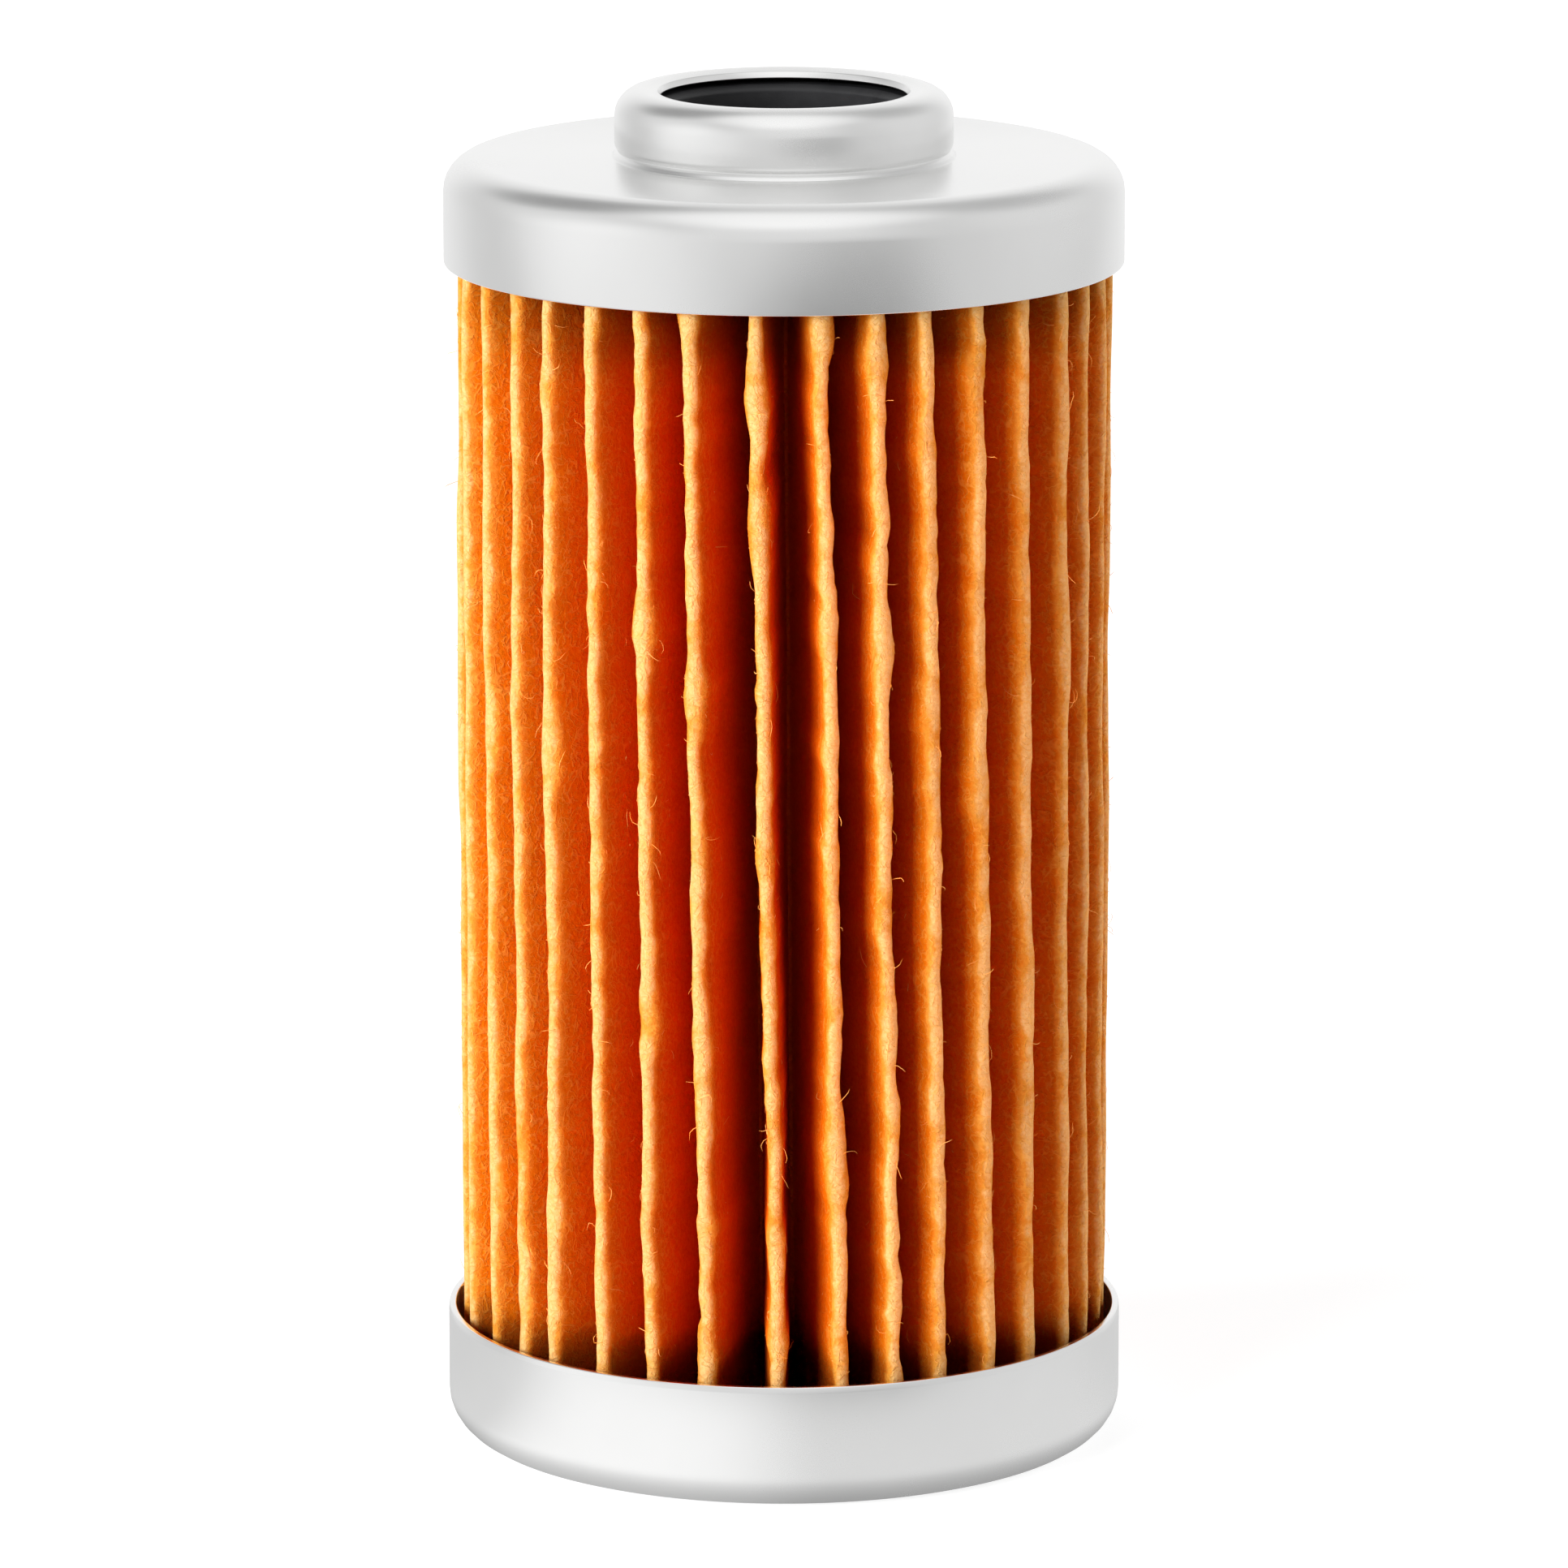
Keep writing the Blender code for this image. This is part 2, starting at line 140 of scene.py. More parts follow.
TIP_SWELL_LEAST = 0.80
TIP_SWELL_MOST = 2.6
TIP_DEPTH_WAVE = (0.00010, 0.010)  # height and length of the waves that the tips stand in and out by
CHANCE_BULGES = 5  # on each pleat
CHANCE_BULGE_SIZE = 1.2
BULGE_REACH = 0.0016
BIG_BULGES = ((13, 0.0437, 1.5), (11, 0.0440, 1.0), (16, 0.0480, 0.8))  # pleat, height, swelling
BIG_BULGE_REACH = 1.4 * BULGE_REACH
ROOT_ASIDE = 0.35  # the share of its two tips' asides that a root takes from each
FLANK_BOW = 0.00016
FLANK_BOW_LENGTH = 0.022
PLEAT_TIP = 0.01925
PAPER_GAP = 0.00025
PAPER_PAINTED_LIGHT_STOPS = [
    # depth, 0 at the roots and 1 at the tips, and colour, which is painted light: the pale tips a
    # painted highlight, the deep red valleys painted glow and shade
    (0.0, (0.86, 0.100, 0.001)),
    (0.43, (0.95, 0.165, 0.0015)),
    (0.70, (0.96, 0.195, 0.002)),
    (0.830, (0.92, 0.215, 0.003)),
    (0.915, (0.84, 0.255, 0.007)),
    (0.964, (0.88, 0.430, 0.060)),
    (0.990, (0.97, 0.700, 0.285)),
]
# between these radii the colour, and with it the painted light, goes from the valleys to the tips
PAPER_ROOT = 0.0100  # the radii between which its colour changes
PAPER_OUTSIDE = 0.0193
FELT_SHADE = (0.90, 0.70, 0.50)
STRAND_COLOUR = (1.0, 0.56, 0.09)
# dark brown near both ends, partly real sealant staining and partly painted shade under the caps and in
# the valleys
STAIN_AND_SHADE_COLOUR = (0.26, 0.038, 0.004)
THROUGH_TINT = (1.0, 0.72, 0.45)
THROUGH_SHARE = 0.56  # of the light that the paper lets through
FIBRES = 5400
FIBRE_POINTS = 4
FIBRE_REACH = 0.02005  # no hair stands out farther than the skirt
FIBRE_LEAST = 0.22  # millimetres long
FIBRE_SPREAD = 1.2
FIBRE_LONG_RARITY = 6  # the higher, the fewer long ones
FIBRE_ROOT = 0.04  # millimetres of it in the paper
FIBRE_THICK = (0.010, 0.017)  # radius in millimetres
FIBRE_TIP = 0.4  # the share of its thickness that is left at its end

# Seam clip
CLIP_SHEET = 0.0003
CLIP_DEPTH = 0.0026
CLIP_GAP = 0.0001
CLIP_LEVELS = 151
CLIP_CRIMPS = 11
CLIP_PRESS = 0.00014
CLIP_BEND_POINTS = 13
CLIP_LEG_POINTS = 6

# Centre tube
TUBE_ROWS = 8
TUBE_COLUMNS = 6
TUBE_HOLE = 0.0016
TUBE_HOLE_STEPS = 28
TUBE_MIDDLE = 0.0083
TUBE_CUT = 0.0024  # how deep the tool that cuts a hole is

# Valve cage's windows
WINDOW_ACROSS = 0.017
WINDOW_WIDTH = 0.0046
WINDOW_HEIGHT = 0.0064
WINDOW_MIDDLE = 0.0066

# Valve spring
SPRING_WIRE = 0.0006
SPRING_RADIUS = 0.0032
SPRING_TURNS = 6
SPRING_POINTS = 28  # in each turn
SPRING_SIDES = 4  # fineness round the wire
SPRING_CLOSED = 1.1  # wires that a closed end turn rises by

BODY = "element"
VALVE = "relief_valve"


# ---------------------------------------------------------------- meshes


def new_piece(name, points, faces, angle=SHARP):
    """A piece from points and faces, its faces turned outwards and smooth up to an angle in degrees."""
    mesh = bpy.data.meshes.new(name)
    mesh.from_pydata([tuple(p) for p in points], [], faces)
    bm = bmesh.new()
    bm.from_mesh(mesh)
    bmesh.ops.remove_doubles(bm, verts=bm.verts[:], dist=MERGE)
    bmesh.ops.recalc_face_normals(bm, faces=bm.faces[:])
    bm.to_mesh(mesh)
    bm.free()
    mesh.shade_smooth()
    mesh.set_sharp_from_angle(angle=math.radians(angle))
    piece = bpy.data.objects.new(name, mesh)
    bpy.context.scene.collection.objects.link(piece)
    return piece


def round_corner(corner, back, on, fillet):
    """The arc that rounds one corner of an outline. back and on lead to the corners beside it."""
    if fillet == 0.0:
        return [corner]
    back_way = back / np.linalg.norm(back)
    on_way = on / np.linalg.norm(on)
    half = 0.5 * math.acos(np.clip(back_way @ on_way, -1.0, 1.0))
    reach = fillet / math.tan(half)
    middle = back_way + on_way
    centre = corner + middle / np.linalg.norm(middle) * fillet / math.sin(half)
    start = corner + back_way * reach - centre
    end = corner + on_way * reach - centre
    turn = math.pi - 2.0 * half
    steps = max(2, math.ceil(turn / ARC_STEP))
    found = []
    for i in range(steps + 1):
        done = turn * i / steps
        mixed = start * math.sin(turn - done) + end * math.sin(done)
        found.append(centre + mixed / math.sin(turn))
    return found


def rounded(corners):
    """The points (r, z) of a closed outline in metres, from its corners in millimetres."""
    places = [np.array((r, z)) * MM for r, z, _ in corners]
    points = []
    for i, (_, _, fillet) in enumerate(corners):
        back = places[i - 1] - places[i]
        on = places[(i + 1) % len(places)] - places[i]
        points += round_corner(places[i], back, on, fillet * MM)
    return points


def turned(name, corners, steps=CAP_STEPS, angle=SHARP):
    """A turned solid from its closed cross-section."""
    outline = rounded(corners)
    count = len(outline)
    points = []
    for k in range(steps):
        around = 2.0 * math.pi * k / steps
        points += [(r * math.cos(around), r * math.sin(around), z) for r, z in outline]
    faces = []
    for k in range(steps):
        here = k * count
        there = (k + 1) % steps * count
        for i in range(count):
            j = (i + 1) % count
            faces.append((here + i, here + j, there + j, there + i))
    return new_piece(name, points, faces, angle)


def cut(piece, cutter):
    """Cuts the cutter out of the piece and removes the cutter."""
    boolean = piece.modifiers.new("Cut", "BOOLEAN")
    boolean.operation = "DIFFERENCE"
    boolean.object = cutter
    graph = bpy.context.evaluated_depsgraph_get()
    mesh = bpy.data.meshes.new_from_object(piece.evaluated_get(graph))
    piece.modifiers.clear()
    piece.data = mesh
    mesh.set_sharp_from_angle(angle=math.radians(SHARP))
    bpy.data.objects.remove(cutter, do_unlink=True)


# ---------------------------------------------------------------- node trees


class Tree:
    """Short calls that build a node tree."""

    def __init__(self, tree):
        self.tree = tree
        tree.nodes.clear()

    def node(self, kind, inputs=None, **settings):
        made = self.tree.nodes.new(kind)
        for name, value in settings.items():
            setattr(made, name, value)
        for name, value in (inputs or {}).items():
            socket = made.inputs[name]
            if isinstance(value, bpy.types.NodeSocket):
                self.tree.links.new(value, socket)
            else:
                socket.default_value = value
        return made

    def math(self, operation, first, second=0.0, third=0.0):
        inputs = {0: first, 1: second, 2: third}
        return self.node("ShaderNodeMath", inputs, operation=operation).outputs[0]

    def vector(self, operation, first, second=(0.0, 0.0, 0.0)):
        made = self.node("ShaderNodeVectorMath", {0: first, 1: second}, operation=operation)
        return made.outputs["Value" if operation in ("DOT_PRODUCT", "LENGTH") else "Vector"]

    def noise(self, vector, scale, detail=3.0, roughness=0.5, distortion=0.0):
        inputs = {
            "Vector": vector,
            "Scale": scale,
            "Detail": detail,
            "Roughness": roughness,
            "Distortion": distortion,
        }
        return self.node("ShaderNodeTexNoise", inputs).outputs["Fac"]

    def remap(self, value, low, high, to_low, to_high, smooth=False):
        inputs = {
            "Value": value,
            "From Min": low,
            "From Max": high,
            "To Min": to_low,
            "To Max": to_high,
        }
        kind = "SMOOTHSTEP" if smooth else "LINEAR"
        return self.node("ShaderNodeMapRange", inputs, interpolation_type=kind).outputs["Result"]

    def ramp(self, value, stops):
        """A colour ramp from stops (place, colour)."""
        made = self.node("ShaderNodeValToRGB", {"Fac": value})
        elements = made.color_ramp.elements
        while len(elements) < len(stops):
            elements.new(0.5)
        for element, (place, colour) in zip(elements, stops):
            element.position = place
            element.color = (*colour, 1.0)
        return made.outputs["Color"]

    def mix(self, share, first, second, blend="MIX"):
        made = self.node("ShaderNodeMix", data_type="RGBA", blend_type=blend)
        for index, value in ((0, share), (6, first), (7, second)):
            socket = made.inputs[index]
            if isinstance(value, bpy.types.NodeSocket):
                self.tree.links.new(value, socket)
            else:
                socket.default_value = (*value, 1.0) if isinstance(value, tuple) else value
        return made.outputs[2]

    def bump(self, height, strength, distance, normal=None):
        inputs = {"Height": height, "Strength": strength, "Distance": distance}
        if normal is not None:
            inputs["Normal"] = normal
        return self.node("ShaderNodeBump", inputs).outputs["Normal"]

    def place(self):
        """Where the point is in the element's own frame, in metres."""
        return self.node("ShaderNodeTexCoord").outputs["Object"]

    def turned_place(self, place):
        """The point's distance from the axis, and its height."""
        parts = self.node("ShaderNodeSeparateXYZ", {0: place})
        flat = self.node("ShaderNodeCombineXYZ", {"X": parts.outputs["X"], "Y": parts.outputs["Y"]})
        radius = self.vector("LENGTH", flat.outputs[0])
        return radius, parts.outputs["Z"]


def new_material(name):
    material = bpy.data.materials.new(name)
    material.use_nodes = True
    return material, Tree(material.node_tree)


def finish_material(material, tree, shader):
    tree.node("ShaderNodeOutputMaterial", {"Surface": shader})
    return material


def metal(name, colour, rough, grain, marks):
    """Rolled and pressed sheet: satin grain, faint turning lines and a few soft blotches."""
    material, tree = new_material(name)
    place = tree.place()
    radius, height = tree.turned_place(place)
    blotch = tree.noise(place, 160.0, 3.0, 0.6)
    fine = tree.noise(place, 12000.0, 2.0, 0.6)
    lines_at = tree.node("ShaderNodeCombineXYZ", {"X": radius, "Z": height}).outputs[0]
    lines = tree.noise(lines_at, 5200.0, 2.0, 0.7)
    mixed = tree.math("MULTIPLY_ADD", blotch, 0.6, tree.math("MULTIPLY", fine, 0.4))
    shine = tree.remap(mixed, 0.3, 0.7, rough - 0.04, rough + 0.05)
    tint = tree.remap(blotch, 0.3, 0.7, 0.97, 1.0)
    tinted = tree.mix(tint, (0.0, 0.0, 0.0), colour)
    bumped = tree.bump(fine, grain, 0.00002)
    bumped = tree.bump(lines, marks, 0.00002, bumped)
    shader = tree.node(
        "ShaderNodeBsdfPrincipled",
        {"Base Color": tinted, "Metallic": 1.0, "Roughness": shine, "Normal": bumped},
    )
    return finish_material(material, tree, shader.outputs[0])


def rubber():
    material, tree = new_material("nitrile_rubber")
    place = tree.place()
    fine = tree.noise(place, 9000.0, 3.0, 0.6)
    bloom = tree.noise(place, 400.0, 3.0, 0.6)
    colour = tree.ramp(bloom, [(0.35, (0.010, 0.010, 0.011)), (0.7, (0.020, 0.020, 0.021))])
    shine = tree.remap(bloom, 0.3, 0.7, 0.42, 0.56)
    shader = tree.node(
        "ShaderNodeBsdfPrincipled",
        {"Base Color": colour, "Roughness": shine, "Normal": tree.bump(fine, 0.3, 0.00003)},
    )
    return finish_material(material, tree, shader.outputs[0])


def sealant():
    material, tree = new_material("bond_sealant")
    place = tree.place()
    lumps = tree.noise(place, 900.0, 4.0, 0.6)
    colour = tree.ramp(lumps, [(0.3, (0.10, 0.020, 0.008)), (0.7, (0.24, 0.065, 0.022))])
    shader = tree.node(
        "ShaderNodeBsdfPrincipled",
        {"Base Color": colour, "Roughness": 0.45, "Normal": tree.bump(lumps, 0.6, 0.0002)},
    )
    return finish_material(material, tree, shader.outputs[0])


def strands(tree, place, scale, width):
    """Thin curly lines, 1 on a line and 0 beside it: where a noise crosses its middle."""
    level = tree.noise(place, scale, 1.5, 0.5, 0.5)
    off = tree.math("ABSOLUTE", tree.math("SUBTRACT", level, 0.5))
    return tree.remap(off, 0.0, width, 1.0, 0.0, True)


def paper_colour(tree, place, cloud, hairs):
    """Resin-soaked paper with painted light: pale tips as a painted highlight, deep red valleys as
    painted glow and shade, and near both ends partly stained by sealant and partly painted shade.
    """
    radius, height = tree.turned_place(place)
    fine = tree.noise(place, 4200.0, 3.0, 0.7)
    # painted light: the colour follows the pleat's depth, pale at the tips as a painted highlight and
    # deep red in the valleys as painted glow and shade
    depth = tree.remap(radius, PAPER_ROOT, PAPER_OUTSIDE, 0.0, 1.0)
    depth = tree.math("ADD", depth, tree.remap(cloud, 0.3, 0.7, -0.03, 0.03))
    body = tree.ramp(depth, PAPER_PAINTED_LIGHT_STOPS)
    shade = tree.mix(1.0, body, FELT_SHADE, "MULTIPLY")
    body = tree.mix(tree.remap(fine, 0.35, 0.65, 0.75, 0.0), body, shade)
    pale = tree.mix(0.65, body, STRAND_COLOUR)
    shown = tree.remap(depth, 0.6, 0.92, 0.0, 0.60)
    body = tree.mix(tree.math("MULTIPLY", hairs, shown), body, pale)
    # partly real sealant staining and partly painted shade: darker near both caps and in the valleys,
    # less at the tips
    ragged = tree.math("MULTIPLY_ADD", cloud, 0.0016, height)
    low = tree.remap(ragged, 0.0082, 0.0105, 1.0, 0.0, True)
    high = tree.remap(ragged, 0.0660, 0.0715, 0.0, 0.65, True)
    inside = tree.remap(radius, 0.0186, 0.0191, 0.75, 0.1, True)
    stain_and_shade = tree.math("MULTIPLY", tree.math("MAXIMUM", low, high), inside)
    return tree.mix(stain_and_shade, body, STAIN_AND_SHADE_COLOUR)


def paper():
    material, tree = new_material("filter_paper")
    place = tree.place()
    cloud = tree.noise(place, 420.0, 4.0, 0.65)
    coarse = strands(tree, place, 800.0, 0.030)
    hairs = tree.math("MAXIMUM", coarse, strands(tree, place, 1900.0, 0.045))
    colour = paper_colour(tree, place, cloud, hairs)
    felt = tree.noise(place, 7000.0, 4.0, 0.75, 0.4)
    bumped = tree.bump(cloud, 0.35, 0.0006)
    bumped = tree.bump(tree.noise(place, 3200.0, 2.0, 0.6), 0.70, 0.00014, bumped)
    bumped = tree.bump(felt, 0.55, 0.00012, bumped)
    bumped = tree.bump(hairs, 0.60, 0.00006, bumped)
    front = tree.node(
        "ShaderNodeBsdfPrincipled",
        {"Base Color": colour, "Roughness": 0.9, "Specular IOR Level": 0.0, "Normal": bumped},
    )
    filtered = tree.mix(1.0, colour, THROUGH_TINT, "MULTIPLY")
    through = tree.node("ShaderNodeBsdfTranslucent", {"Color": filtered, "Normal": bumped})
    inputs = {0: THROUGH_SHARE, 1: front.outputs[0], 2: through.outputs[0]}
    both = tree.node("ShaderNodeMixShader", inputs)
    return finish_material(material, tree, both.outputs[0])


def fibre():
    material, tree = new_material("loose_fibre")
    place = tree.place()
    tone = tree.noise(place, 700.0, 2.0)
    colour = tree.ramp(tone, [(0.3, (0.95, 0.30, 0.04)), (0.7, (0.97, 0.46, 0.13))])
    shader = tree.node(
        "ShaderNodeBsdfPrincipled", {"Base Color": colour, "Roughness": 0.8, "Specular IOR Level": 0.0}
    )
    return finish_material(material, tree, shader.outputs[0])


def floor_material():
    material, tree = new_material("pale_floor")
    place = tree.place()
    tone = tree.noise(place, 3.0, 2.0)
    colour = tree.ramp(tone, [(0.3, (0.34, 0.34, 0.34)), (0.7, (0.36, 0.36, 0.36))])
    shader = tree.node(
        "ShaderNodeBsdfPrincipled",
        {
            "Base Color": colour,
            "Roughness": 1.0,
            "Specular IOR Level": 0.0,
            "Emission Color": (1.0, 1.0, 1.0, 1.0),
            "Emission Strength": 0.80,
        },
    )
    return finish_material(material, tree, shader.outputs[0])


def near_floor_material():
    """A white glow, seen only by metal as a painted reflection of the floor: it fades with distance, has
    a painted shadow of the element and is brightest by the key, a painted pool of light.
    """
    material, tree = new_material("near_floor")
    place = tree.place()
    radius, _ = tree.turned_place(place)
    gone = tree.remap(radius, 0.65 * NEAR_FLOOR, NEAR_FLOOR, 0.0, 1.0, True)
    way = tree.vector("NORMALIZE", place)
    # painted pool of key light in the mirrored glow
    to_key = tree.vector("DOT_PRODUCT", way, direction(NEAR_FLOOR_LIT_AZIMUTH, 0.0))
    lit = tree.remap(to_key, 0.70, 1.0, 0.0, NEAR_FLOOR_LIT, True)
    to_front = tree.vector("DOT_PRODUCT", way, direction(0.0, 0.0))
    behind = tree.remap(to_front, -0.5, 0.3, NEAR_FLOOR_BEHIND, 0.0, True)
    level = tree.math("ADD", tree.math("ADD", lit, behind), NEAR_FLOOR_LEVEL)
    # painted contact shadow: the glow is darker right beside the element
    shade = tree.remap(radius, CONTACT_INNER, CONTACT_OUTER, CONTACT_SHADE, 1.0, True)
    glow = tree.node("ShaderNodeEmission", {"Strength": tree.math("MULTIPLY", level, shade)})
    clear = tree.node("ShaderNodeBsdfTransparent")
    both = tree.node("ShaderNodeMixShader", {0: gone, 1: glow.outputs[0], 2: clear.outputs[0]})
    return finish_material(material, tree, both.outputs[0])


# ---------------------------------------------------------------- scene


def direction(azimuth, elevation):
    """The unit vector that leads out at an azimuth and elevation in degrees."""
    a = math.radians(azimuth)
    e = math.radians(elevation)
    return Vector((math.sin(a) * math.cos(e), -math.cos(a) * math.cos(e), math.sin(e)))


def make_world():
    """A pale studio that metal mirrors: even, but brighter or darker in soft round patches."""
    world = bpy.data.worlds.new("studio")
    bpy.context.scene.world = world
    world.use_nodes = True
    world.cycles_visibility.diffuse = False  # the soft boxes alone light the paper
    world.cycles_visibility.transmission = False
    tree = Tree(world.node_tree)
    way = tree.node("ShaderNodeTexCoord").outputs["Generated"]
    level = STUDIO_LEVEL
    for azimuth, elevation, half_width, brightness in STUDIO_PATCHES:
        near = tree.vector("DOT_PRODUCT", way, direction(azimuth, elevation))
        patch = tree.remap(near, math.cos(math.radians(half_width)), 1.0, 0.0, brightness, True)
        level = tree.math("ADD", patch, level)
    background = tree.node("ShaderNodeBackground", {"Color": level, "Strength": 1.0})
    tree.node("ShaderNodeOutputWorld", {"Surface": background.outputs[0]})


def make_light(name, azimuth, elevation, distance, width, height, power):
    """A soft box that lights surfaces but isn't mirrored as a hard square."""
    data = bpy.data.lights.new(name, "AREA")
    data.shape = "RECTANGLE"
    data.size = width
    data.size_y = height
    data.energy = power
    light = bpy.data.objects.new(name, data)
    bpy.context.scene.collection.objects.link(light)
    aim = Vector((0.0, 0.0, 0.5 * cad_box[1].z))
    light.location = aim + distance * direction(azimuth, elevation)
    light.rotation_euler = (light.location - aim).to_track_quat("Z", "Y").to_euler()
    light.visible_glossy = False


def make_camera():
    data = bpy.data.cameras.new("camera")
    data.lens = LENS
    data.clip_start = 0.01
    data.clip_end = 10.0
    camera = bpy.data.objects.new("camera", data)
    bpy.context.scene.collection.objects.link(camera)
    camera.location = (0.0, -CAMERA_DISTANCE, CAMERA_HEIGHT)
    camera.rotation_euler = (math.radians(90.0 - CAMERA_DIP), 0.0, 0.0)
    bpy.context.scene.camera = camera


def make_floor():
    half = FLOOR_HALF
    z = cad_box[0].z - FLOOR_GAP
    corners = [(-half, -half, z), (half, -half, z), (half, half, z), (-half, half, z)]
    floor = new_piece("floor", corners, [(0, 1, 2, 3)])
    floor.data.materials.append(floor_material())
    floor.visible_glossy = False  # metal mirrors the studio, and the floor only close by
    near = turned_disc("near_floor", NEAR_FLOOR, z)
    near.data.materials.append(near_floor_material())
    near.visible_camera = False
    near.visible_diffuse = False
    near.visible_transmission = False
    near.visible_shadow = False


def turned_disc(name, radius, z):
    points = [(0.0, 0.0, z)]
    for k in range(SMALL_STEPS):
        around = 2.0 * math.pi * k / SMALL_STEPS
        points.append((radius * math.cos(around), radius * math.sin(around), z))
    faces = [(0, 1 + k, 1 + (k + 1) % SMALL_STEPS) for k in range(SMALL_STEPS)]
    return new_piece(name, points, faces)


def make_scene():
    bpy.context.scene.view_settings.view_transform = "Standard"
    make_camera()
    make_world()
    for light in LIGHTS:
        make_light(*light)
    make_floor()


# ---------------------------------------------------------------- metal pieces


def dress(piece, material, body, slot, *nodes):
    """Gives a piece its material and the body it rides on, and hides the nodes that it stands for. The
    slot is not used.
    """
    piece.data.materials.clear()
    piece.data.materials.append(material)
    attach(piece, body)
    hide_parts(*nodes)


def ends(node):
    """The lowest and highest z of a node, in millimetres."""
    low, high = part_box(node)
    return low.z / MM, high.z / MM


def top_cap_corners():
    """A skirt, a flat and a neck, whose foot is tucked in and whose lip is turned in over the seal."""
    return [
        (7.2, 80.36, 0.05),
        (7.42, 80.74, 0.10),
        (8.2, 80.90, 0.9),
        (9.95, 80.90, 1.6),
        (9.95, 77.62, 0.5),
        (9.74, 77.26, 0.06),
        (9.98, 77.08, 0.08),
        (10.12, 76.90, 0.10),
        (20.0, 76.90, 2.0),
        (20.0, 70.70, 0.12),
        (19.5, 70.70, 0.12),
        (19.5, 76.40, 1.5),
        (9.60, 76.40, 0.25),
        (9.25, 77.30, 0.40),
        (9.45, 77.90, 0.50),
        (9.45, 80.40, 1.1),
        (8.2, 80.40, 0.9),
    ]


def bottom_cap_corners():
    """A tray with a rounded corner, raised round the relief port as the valve's seat."""
    return [
        (20.05, 7.60, 0.10),
        (20.10, 7.25, 0.30),
        (20.10, 0.0, 2.4),
        (5.10, 0.0, 0.30),
        (4.50, 0.30, 0.15),
        (4.35, 1.20, 0.25),
        (3.50, 1.20, 0.06),
        (3.50, 1.60, 0.06),
        (4.72, 1.60, 0.45),
        (4.95, 0.40, 0.30),
        (19.70, 0.40, 2.0),
        (19.65, 7.60, 0.10),
    ]


def make_caps(tinplate):
    top = turned("top_cap_shell", top_cap_corners(), angle=50.0)
    dress(top, tinplate, BODY, "tinplate", "top_end_cap")
    bottom = turned("bottom_cap_shell", bottom_cap_corners(), angle=50.0)
    dress(bottom, tinplate, BODY, "tinplate", "bottom_end_cap")


def make_seal(material):
    """The moulded ring in the neck, its top rounded to fit under the lip."""
    corners = [
        (7.35, 80.03, 0.15),
        (9.30, 80.03, 0.95),
        (9.30, 78.15, 0.3),
        (9.07, 77.65, 0.3),
        (9.07, 76.25, 0.1),
        (6.95, 76.25, 0.2),
        (6.90, 76.70, 0.1),
        (6.90, 79.75, 0.25),
    ]
    dress(turned("neck_seal_ring", corners), material, BODY, "seal_rubber", "neck_seal")


def make_retainer(material):
    low, high = ends("seal_retainer")
    corners = [(9.2, high, 0.1), (9.2, low, 0.1), (7.4, low, 0.1), (7.4, high, 0.1)]
    washer = turned("washer_under_seal", corners, SMALL_STEPS)
    dress(washer, material, BODY, "plated_steel", "seal_retainer")


def make_bonds(material):
    low, high = ends("top_bond")
    corners = [(9.35, high, 0.1), (19.35, high, 1.2), (19.35, low, 0.08), (9.35, low, 0.2)]
    dress(turned("top_bond_ring", corners), material, BODY, "bond_sealant", "top_bond")
    low, high = ends("bottom_bond")
    corners = [
        (9.05, low, 0.1),
        (18.3, low, 1.0),
        (19.35, 1.30, 0.5),
        (19.45, high, 0.05),
        (9.05, high, 0.2),
    ]
    dress(turned("bottom_bond_ring", corners), material, BODY, "bond_sealant", "bottom_bond")


def new_cutter(bm):
    mesh = bpy.data.meshes.new("cutter")
    bm.to_mesh(mesh)
    bm.free()
    cutter = bpy.data.objects.new("cutter", mesh)
    bpy.context.scene.collection.objects.link(cutter)
    return cutter


def make_tube(material):
    """The perforated tube, its holes in rows that are staggered by half a column."""
    low, high = ends("centre_tube")
    corners = [(8.5, high, 0.08), (8.5, low, 0.08), (8.1, low, 0.08), (8.1, high, 0.08)]
    tube = turned("perforated_tube", corners, SMALL_STEPS)
    bm = bmesh.new()
    for row in range(TUBE_ROWS):
        z = (low + (high - low) * (row + 1) / (TUBE_ROWS + 1)) * MM
        for column in range(TUBE_COLUMNS):
            around = 2.0 * math.pi * (column + 0.5 * (row % 2)) / TUBE_COLUMNS
            rod = bmesh.ops.create_cone(
                bm,
                cap_ends=True,
                segments=TUBE_HOLE_STEPS,
                radius1=TUBE_HOLE,
                radius2=TUBE_HOLE,
                depth=TUBE_CUT,
            )["verts"]
            turn = Matrix.Rotation(around, 4, "Z") @ Matrix.Translation((TUBE_MIDDLE, 0.0, z))
            bmesh.ops.transform(bm, matrix=turn @ Matrix.Rotation(0.5 * math.pi, 4, "Y"), verts=rod)
    cut(tube, new_cutter(bm))
    dress(tube, material, BODY, "plated_steel", "centre_tube")


